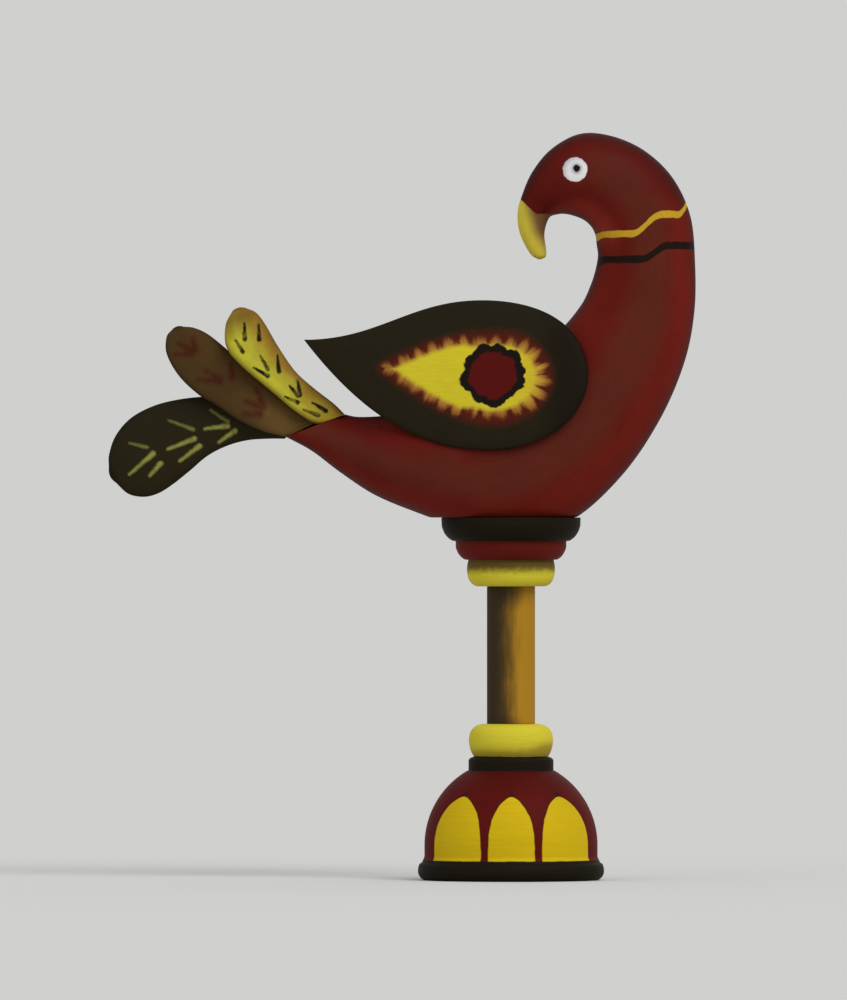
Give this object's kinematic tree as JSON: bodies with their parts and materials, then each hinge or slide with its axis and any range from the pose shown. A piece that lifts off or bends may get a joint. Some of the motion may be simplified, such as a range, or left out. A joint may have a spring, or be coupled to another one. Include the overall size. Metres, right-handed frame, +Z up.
{
  "type": "bird on pedestal figure",
  "caption": "Carved and painted wooden bird standing on a turned pedestal, its head turned back over teardrop wing plates and a fan of tail feathers.",
  "frame": {"origin": "centre of the pedestal's underside, on the pedestal's axis", "axes": "+Z up along the pedestal; +X towards the bird's breast, so the tail and the tip of the turned-back beak point towards -X; the bird's middle plane is the XZ plane, and -Y is the side seen in the picture"},
  "size_m": [0.188, 0.0596, 0.2391],
  "materials": {
    "base_paint": "satin oil paint on turned wood: deep red dome with yellow petals, black foot and collar, yellow bead",
    "post_stain": "turned dowel, ochre paint with a dark umber graining glaze streaked down it",
    "capital_paint": "satin oil paint on turned wood: black disc, deep red ring, yellow cup",
    "body_paint": "satin oil paint on carved wood: deep red with a yellow beak, a round white eye and two wavy neck bands",
    "wing_paint": "satin oil paint on carved wood: brown-black ground, yellow flame drop and a dark red flower",
    "feather_paint_yellow": "satin oil paint on carved wood, yellow with black dashes",
    "feather_paint_brown": "satin oil paint on carved wood, brown with dull red dashes",
    "feather_paint_black": "satin oil paint on carved wood, brown-black with yellow-green dashes"
  },
  "bodies": {
    "root": {"pedestal_base": "base_paint", "pedestal_post": "post_stain", "pedestal_capital": "capital_paint", "bird_body": "body_paint", "wing_left": "wing_paint", "wing_right": "wing_paint", "tail_feather_yellow": "feather_paint_yellow", "tail_feather_brown": "feather_paint_brown", "tail_feather_black": "feather_paint_black"}
  },
  "joints": []
}
